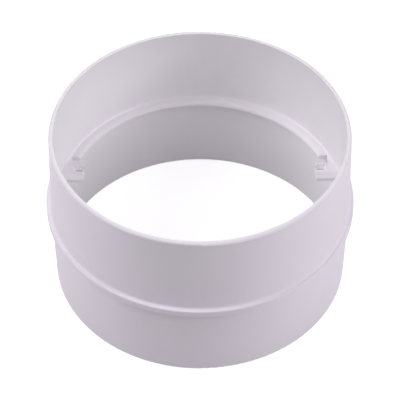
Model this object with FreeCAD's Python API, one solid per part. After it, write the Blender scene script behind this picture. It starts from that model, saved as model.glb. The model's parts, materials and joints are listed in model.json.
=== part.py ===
import FreeCAD, Part
import math
import os

# A one-piece moulded duct connector, standing on its lower lip. Lengths are in millimetres.
# The origin is the centre of the lower lip and +Z runs up the duct axis. The seat ledge and the
# two pivot brackets for a backdraught flap are behind the axis, towards +Y.

# Spigots: both taper from the stop bead to lips of one size, around a straight bore
lip_diameter = 149.0
spigot_taper = 1.0              # growth in radius from a lip to the bead
lip_wall = 2.4
lip_outer_rounding = 1.2
lip_inner_rounding = 0.4
lower_spigot_length = 43.3
upper_spigot_length = 44.8

# Stop bead between the spigots
bead_height = 3.9
bead_projection = 2.2           # beyond the root of the spigots
bead_top_rounding = 0.8
bead_bottom_rounding = 0.6
bead_root_rounding = 1.1

# Seat ledge inside the bore
ledge_width = 4.7
ledge_thickness = 2.7
ledge_rise = 0.3                # top face above the top of the bead
ledge_top_rounding = 2.0
ledge_bottom_rounding = 0.3
ledge_root_rounding = 0.8

# Pivot brackets at the two ends of the ledge, sloping down at the front
bracket_reach = 13.0            # from the widest point of the bore to the inner end
bracket_offset = 11.6           # front face behind the duct axis
bracket_rise = 1.4              # top face above the ledge
slope_run = 2.35
slope_drop = 1.85
bracket_rounding = 0.5

# Pocket in the top of each bracket: a ramp runs down from the rear wall to a slot at the front
pocket_length = 3.4
pocket_width = 3.95
slot_width = 2.2
slot_depth = 3.4
ramp_front_depth = 1.35
ramp_rear_depth = 0.3
pocket_front_wall = 4.3         # from the bracket's front face
pocket_rear_wall = 1.35
pocket_end_wall = 0.95
pocket_chamfer = 1.2            # on the end next to the bore

# Saddle through the pocket's end wall for a flap's pin
saddle_diameter = 3.0

# Relief notch in the ledge behind each bracket
relief_width = 6.7
relief_length = 6.6             # from the bracket's inner end towards the wall
relief_corner_rounding = 0.4

# How far the ledge and the brackets run into the wall that carries them
root_embed = 0.9

# Levels and radii that follow from the sizes above
lip_radius = lip_diameter / 2
bore_radius = lip_radius - lip_wall
root_radius = lip_radius + spigot_taper
bead_radius = root_radius + bead_projection
bead_bottom = lower_spigot_length
bead_top = bead_bottom + bead_height
height = bead_top + upper_spigot_length
ledge_top = bead_top + ledge_rise
ledge_bottom = ledge_top - ledge_thickness
ledge_radius = bore_radius - ledge_width
embed_radius = bore_radius + root_embed

bracket_end = bore_radius - bracket_reach
bracket_top = ledge_top + bracket_rise
bracket_width = pocket_front_wall + pocket_width + pocket_rear_wall
bracket_rear = bracket_offset + bracket_width
pocket_start = bracket_end + pocket_end_wall
pocket_end = pocket_start + pocket_length
pocket_front = bracket_offset + pocket_front_wall
pocket_rear = pocket_front + pocket_width
slot_rear = pocket_front + slot_width
saddle_y = pocket_front + saddle_diameter / 2

UP = FreeCAD.Vector(0, 0, 1)
ALONG_X = FreeCAD.Vector(1, 0, 0)
ORIGIN = FreeCAD.Vector(0, 0, 0)


def rounded_profile(corners):
    """Closed wire in the XZ plane through (radius, height, rounding) corners, with tangent arcs."""
    points = [FreeCAD.Vector(r, 0, z) for r, z, rounding in corners]
    starts, ends, arcs = [], [], []
    for i, (r, z, rounding) in enumerate(corners):
        corner = points[i]
        back = (points[i - 1] - corner).normalize()
        ahead = (points[(i + 1) % len(points)] - corner).normalize()
        half_angle = back.getAngle(ahead) / 2
        run = rounding / math.tan(half_angle)
        starts.append(corner + back * run)
        ends.append(corner + ahead * run)
        inward = (back + ahead).normalize()
        middle = corner + inward * (rounding / math.sin(half_angle) - rounding)
        arcs.append(Part.Arc(starts[i], middle, ends[i]).toShape() if rounding else None)
    edges = []
    for i, arc in enumerate(arcs):
        if arc:
            edges.append(arc)
        edges.append(Part.LineSegment(ends[i], starts[(i + 1) % len(points)]).toShape())
    return Part.Wire(edges)


def ring(corners):
    """Solid of revolution about the duct axis."""
    return Part.Face(rounded_profile(corners)).revolve(ORIGIN, UP, 360)


def block(x, y, z, length, width, tall):
    """Box from its lowest corner."""
    return Part.makeBox(length, width, tall, FreeCAD.Vector(x, y, z))


def rounded(shape, radius, chosen):
    """The shape with the edges that the test chooses rounded off."""
    edges = [edge for edge in shape.Edges if chosen(edge.BoundBox)]
    return shape.makeFillet(radius, edges)


def near(a, b):
    return abs(a - b) < 1e-4


def stands_at(box, x):
    """True for the box of an upright edge at this x."""
    return near(box.XMin, x) and near(box.XMax, x) and box.ZLength > box.YLength


def tube():
    """Both spigots and the stop bead, around the bore."""
    return ring([
        (bore_radius, 0, lip_inner_rounding),
        (lip_radius, 0, lip_outer_rounding),
        (root_radius, bead_bottom, bead_root_rounding),
        (bead_radius, bead_bottom, bead_bottom_rounding),
        (bead_radius, bead_top, bead_top_rounding),
        (root_radius, bead_top, bead_root_rounding),
        (lip_radius, height, lip_outer_rounding),
        (bore_radius, height, lip_inner_rounding),
    ])


def relief_notch():
    """Cutter for the notch behind the right bracket, rounded in its far corner."""
    notch_end = bracket_end + relief_length
    notch_rear = bracket_rear + relief_width
    cutter = block(0, bracket_rear, ledge_bottom - ledge_thickness,
                   notch_end, relief_width, 3 * ledge_thickness)
    return rounded(cutter, relief_corner_rounding,
                   lambda box: stands_at(box, notch_end) and near(box.YMin, notch_rear))


def seat_ledge():
    """Inward ledge round the back of the bore, from bracket to bracket."""
    strip = 2 * ledge_root_rounding
    full = ring([
        (embed_radius, ledge_bottom - strip, 0),
        (bore_radius, ledge_bottom - strip, 0),
        (bore_radius, ledge_bottom, ledge_root_rounding),
        (ledge_radius, ledge_bottom, ledge_bottom_rounding),
        (ledge_radius, ledge_top, ledge_top_rounding),
        (bore_radius, ledge_top, ledge_root_rounding),
        (bore_radius, ledge_top + strip, 0),
        (embed_radius, ledge_top + strip, 0),
    ])
    middle = bracket_offset + bracket_width / 2
    front = block(-lip_radius, -lip_radius, 0, lip_diameter, lip_radius + middle, height)
    notch = relief_notch()
    return full.cut([front, notch, notch.mirror(ORIGIN, ALONG_X)])


def bar(x, length, section):
    """Prism along X from a section of (y, z) corners."""
    wire = Part.makePolygon([FreeCAD.Vector(x, y, z) for y, z in section + section[:1]])
    return Part.Face(wire).extrude(ALONG_X * length)


def pocket():
    """Cutter for the right bracket's pocket: slot, ramp and chamfered end."""
    above = bracket_top + pocket_chamfer
    hollow = bar(pocket_start, pocket_length, [
        (pocket_front, above),
        (pocket_front, bracket_top - slot_depth),
        (slot_rear, bracket_top - slot_depth),
        (slot_rear, bracket_top - ramp_front_depth),
        (pocket_rear, bracket_top - ramp_rear_depth),
        (pocket_rear, above),
    ])
    low = FreeCAD.Vector(pocket_end, pocket_front, bracket_top - pocket_chamfer)
    high = FreeCAD.Vector(pocket_end, pocket_front, above)
    far = FreeCAD.Vector(pocket_end + 2 * pocket_chamfer, pocket_front, above)
    wedge = Part.Face(Part.makePolygon([low, far, high, low]))
    return hollow.fuse(wedge.extrude(FreeCAD.Vector(0, pocket_width, 0)))


def saddle():
    """Cutter for the half-round seat in the right bracket's end wall."""
    base = FreeCAD.Vector(bracket_end - pocket_end_wall, saddle_y, bracket_top)
    return Part.makeCylinder(saddle_diameter / 2, 2 * pocket_end_wall + pocket_length / 2, base, ALONG_X)


def pivot_bracket():
    """Right bracket, from its inner end into the wall, with its pocket and saddle."""
    wall_end = bracket_end + bracket_reach
    body = bar(bracket_end, bracket_reach, [
        (bracket_offset, ledge_bottom),
        (bracket_rear, ledge_bottom),
        (bracket_rear, bracket_top),
        (bracket_offset + slope_run, bracket_top),
        (bracket_offset, bracket_top - slope_drop),
    ])
    body = rounded(body, bracket_rounding, lambda box: not near(box.XMin, wall_end))
    body = body.cut([pocket(), saddle()])
    return body.common(Part.makeCylinder(embed_radius, height))


def duct_connector():
    """The whole moulding as one solid."""
    right = pivot_bracket()
    left = right.mirror(ORIGIN, ALONG_X)
    return tube().fuse([seat_ledge(), right, left]).removeSplitter()


os.makedirs("parts", exist_ok=True)
moulding = duct_connector().Solids[0]
moulding.exportStep("parts/duct_connector.step")
print("duct_connector", moulding.isValid(), len(moulding.Faces), round(moulding.Volume, 1))
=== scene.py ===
import json
import math

import bpy
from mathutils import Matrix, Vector


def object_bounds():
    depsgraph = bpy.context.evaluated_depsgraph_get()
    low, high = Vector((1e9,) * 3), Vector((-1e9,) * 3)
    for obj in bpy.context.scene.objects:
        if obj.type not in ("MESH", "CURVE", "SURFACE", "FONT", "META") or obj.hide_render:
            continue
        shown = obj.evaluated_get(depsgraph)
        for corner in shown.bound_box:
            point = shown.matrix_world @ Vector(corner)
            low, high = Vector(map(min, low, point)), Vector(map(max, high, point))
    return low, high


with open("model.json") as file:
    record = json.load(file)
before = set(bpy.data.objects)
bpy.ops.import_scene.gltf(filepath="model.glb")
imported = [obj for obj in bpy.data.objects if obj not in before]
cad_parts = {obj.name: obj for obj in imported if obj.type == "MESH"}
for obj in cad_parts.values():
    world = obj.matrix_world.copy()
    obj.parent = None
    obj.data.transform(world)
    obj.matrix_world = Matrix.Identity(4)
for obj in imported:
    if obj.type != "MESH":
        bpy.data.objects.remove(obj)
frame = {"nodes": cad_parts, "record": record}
cad_low, cad_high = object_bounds()

# Lengths are in metres, apart from the lens and the sensor
MM = 0.001

# The camera looks down on the connector from the front
VIEW_ELEVATION = 46.45          # degrees above the horizon
VIEW_BEARING = -0.52            # degrees round from the front, a little to the left
VIEW_DISTANCE = 1081.4 * MM
VIEW_TARGET = (-0.02 * MM, 0.0, 43.83 * MM)
LENS_IN_MM = 192.05
SENSOR_IN_MM = 36.0

# Soft boxes: bearing and height in degrees, and strength in watts
SOFT_BOXES = {
    "left_box": (-89, 42, 9.45),
    "right_box": (75.5, 31.5, 8.7),
    "front_box": (0, 45, 2.0),
    "back_box": (180, 40, 3.3),
}
BOX_DISTANCE = 1.2
BOX_SIDE = 0.8

# Floor: small, so that low views end on the white backdrop and not on a dim far floor
FLOOR_SIDE = 1.7
FLOOR_GAP = 0.1 * MM            # under the lower lip, so that the two faces don't share a plane
FLOOR_TONE = "#D8D8D8"
FLOOR_GLOW = 0.69               # added where the floor is seen, to bring it up to white
WHITE = (1, 1, 1, 1)

# Moulded skin: each pair of tones is the deep and the pale side of a faint mottle
BORE_TONES = ("#F0ECF2", "#F4F0F6")
OUTER_TONES = ("#EEE6F2", "#F3EBF7")
BORE_TONE_END = -0.5 * MM       # outwards from the middle of the lip, so this is inside it
OUTER_TONE_START = 1.5 * MM
MOTTLE_SIZE = 28 * MM
MOTTLE_DETAIL = 3
STREAK_WIDTH = 3 * MM
STREAK_STRETCH = 14             # times longer up the draw of the mould than wide
STREAK_DETAIL = 2
ROUGHNESS_RANGE = (0.64, 0.74)
GRAIN_SIZE = 0.9 * MM           # the real grain is near 0.1 mm, drawn coarser so that it shows at all
GRAIN_DEPTH = 0.012 * MM
GRAIN_DETAIL = 2
ABS_IOR = 1.53
SPECULAR_LEVEL = 0.2            # below the usual 0.5, because the skin is nearly matt

mounts = {mount["name"]: mount for mount in frame["record"]["mounts"]}
lip_middle = mounts["upper_lip"]["pos_m"][0]


def linear(hex_colour):
    """An sRGB hex colour as linear red, green, blue and alpha."""
    channels = [int(hex_colour[i:i + 2], 16) / 255 for i in (1, 3, 5)]
    return [c / 12.92 if c <= 0.04045 else ((c + 0.055) / 1.055) ** 2.4 for c in channels] + [1.0]


def add_node(tree, kind, inputs=None, **settings):
    """Adds a shader node with its settings, and sets or links its inputs."""
    node = tree.nodes.new(kind)
    for name, value in settings.items():
        setattr(node, name, value)
    for socket, value in (inputs or {}).items():
        if isinstance(value, bpy.types.NodeSocket):
            tree.links.new(value, node.inputs[socket])
        else:
            node.inputs[socket].default_value = value
    return node


def new_material(name):
    """A material with an empty node tree, and that tree."""
    material = bpy.data.materials.new(name)
    material.use_nodes = True
    material.node_tree.nodes.clear()
    return material, material.node_tree


def white_moulded_abs():
    """White ABS, injection moulded: nearly matt, faint mottle and flow streaks, fine mould grain.

    The outside is a touch more lavender than the bore.
    """
    material, tree = new_material("white_moulded_abs")
    place = add_node(tree, "ShaderNodeTexCoord").outputs["Object"]

    # Tone: the mottle runs between the deep and pale sides, and the radius picks bore or outside
    flat = add_node(tree, "ShaderNodeVectorMath", {0: place, 1: (1, 1, 0)}, operation="MULTIPLY")
    radius = add_node(tree, "ShaderNodeVectorMath", {0: flat.outputs["Vector"]}, operation="LENGTH")
    outside = add_node(tree, "ShaderNodeMapRange", {
        "Value": radius.outputs["Value"],
        "From Min": lip_middle + BORE_TONE_END,
        "From Max": lip_middle + OUTER_TONE_START})
    deep, pale = [
        add_node(tree, "ShaderNodeMix", {
            "Factor": outside.outputs["Result"], "A": linear(bore), "B": linear(outer)},
            data_type="RGBA")
        for bore, outer in zip(BORE_TONES, OUTER_TONES)]
    mottle = add_node(tree, "ShaderNodeTexNoise", {
        "Vector": place, "Scale": 1 / MOTTLE_SIZE, "Detail": MOTTLE_DETAIL})
    tone = add_node(tree, "ShaderNodeMix", {
        "Factor": mottle.outputs["Fac"], "A": deep.outputs["Result"], "B": pale.outputs["Result"]},
        data_type="RGBA")

    # Sheen: streaks up the walls, where the plastic flowed and was drawn from the mould
    stretched = add_node(tree, "ShaderNodeVectorMath", {
        0: place, 1: (1, 1, 1 / STREAK_STRETCH)}, operation="MULTIPLY")
    streaks = add_node(tree, "ShaderNodeTexNoise", {
        "Vector": stretched.outputs["Vector"], "Scale": 1 / STREAK_WIDTH, "Detail": STREAK_DETAIL})
    sheen = add_node(tree, "ShaderNodeMapRange", {
        "Value": streaks.outputs["Fac"], "To Min": ROUGHNESS_RANGE[0], "To Max": ROUGHNESS_RANGE[1]})

    # Grain: a shallow bump all over
    grain = add_node(tree, "ShaderNodeTexNoise", {
        "Vector": place, "Scale": 1 / GRAIN_SIZE, "Detail": GRAIN_DETAIL})
    bump = add_node(tree, "ShaderNodeBump", {"Height": grain.outputs["Fac"], "Distance": GRAIN_DEPTH})

    shader = add_node(tree, "ShaderNodeBsdfPrincipled", {
        "Base Color": tone.outputs["Result"], "Roughness": sheen.outputs["Result"],
        "IOR": ABS_IOR, "Specular IOR Level": SPECULAR_LEVEL, "Normal": bump.outputs["Normal"]})
    add_node(tree, "ShaderNodeOutputMaterial", {"Surface": shader.outputs["BSDF"]})
    return material


def seen_directly(tree):
    """A factor that is 1 for what is seen, also mirrored or through glass, and 0 for light on things."""
    path = add_node(tree, "ShaderNodeLightPath")
    mirrored = add_node(tree, "ShaderNodeMath", {
        0: path.outputs["Is Camera Ray"], 1: path.outputs["Is Glossy Ray"]}, operation="MAXIMUM")
    shown = add_node(tree, "ShaderNodeMath", {
        0: mirrored.outputs[0], 1: path.outputs["Is Transmission Ray"]}, operation="MAXIMUM")
    return shown.outputs[0]


def studio_floor():
    """Plain pale floor: it is white where it is seen, and it keeps the connector's soft shadow."""
    material, tree = new_material("studio_floor")
    paint = add_node(tree, "ShaderNodeBsdfDiffuse", {"Color": linear(FLOOR_TONE)})
    glow = add_node(tree, "ShaderNodeEmission", {"Color": WHITE, "Strength": FLOOR_GLOW})
    bright = add_node(tree, "ShaderNodeAddShader", {0: paint.outputs[0], 1: glow.outputs[0]})
    mix = add_node(tree, "ShaderNodeMixShader", {
        0: seen_directly(tree), 1: paint.outputs[0], 2: bright.outputs[0]})
    add_node(tree, "ShaderNodeOutputMaterial", {"Surface": mix.outputs[0]})
    return material


def from_bearing(bearing, height, distance):
    """An offset from the target, from angles in degrees: bearing 0 is the front and 90 the right."""
    turn = math.radians(bearing)
    lift = math.radians(height)
    level = math.cos(lift)
    return Vector((math.sin(turn) * level, -math.cos(turn) * level, math.sin(lift))) * distance


def aim(thing, target):
    """Turns a camera or a lamp to face the target."""
    thing.rotation_mode = "QUATERNION"
    thing.rotation_quaternion = (Vector(target) - thing.location).to_track_quat("-Z", "Y")


def add_camera():
    camera = bpy.data.objects.new("camera", bpy.data.cameras.new("camera"))
    bpy.context.scene.collection.objects.link(camera)
    camera.location = Vector(VIEW_TARGET) + from_bearing(VIEW_BEARING, VIEW_ELEVATION, VIEW_DISTANCE)
    aim(camera, VIEW_TARGET)
    camera.data.sensor_width = SENSOR_IN_MM
    camera.data.lens = LENS_IN_MM
    bpy.context.scene.camera = camera


def add_soft_boxes():
    for name, (bearing, height, watts) in SOFT_BOXES.items():
        lamp = bpy.data.lights.new(name, "AREA")
        lamp.shape = "SQUARE"
        lamp.size = BOX_SIDE
        lamp.energy = watts
        box = bpy.data.objects.new(name, lamp)
        bpy.context.scene.collection.objects.link(box)
        box.location = Vector(VIEW_TARGET) + from_bearing(bearing, height, BOX_DISTANCE)
        aim(box, VIEW_TARGET)


def add_backdrop():
    """A world that is white where it is seen, and leaves the lighting to the soft boxes."""
    world = bpy.data.worlds.new("backdrop")
    bpy.context.scene.world = world
    world.use_nodes = True
    tree = world.node_tree
    tree.nodes.clear()
    backdrop = add_node(tree, "ShaderNodeBackground", {
        "Color": WHITE, "Strength": seen_directly(tree)})
    add_node(tree, "ShaderNodeOutputWorld", {"Surface": backdrop.outputs[0]})


def add_floor():
    bpy.ops.object.select_all(action="DESELECT")
    bpy.ops.mesh.primitive_plane_add(size=FLOOR_SIDE, location=(0, 0, cad_low.z - FLOOR_GAP))
    floor = bpy.context.object
    floor.name = "floor"
    floor.data.materials.append(studio_floor())


connector = frame["nodes"]["duct_connector"]
connector.data.materials.clear()
connector.data.materials.append(white_moulded_abs())

add_floor()
add_backdrop()
add_soft_boxes()
add_camera()
bpy.context.scene.view_settings.view_transform = "Standard"
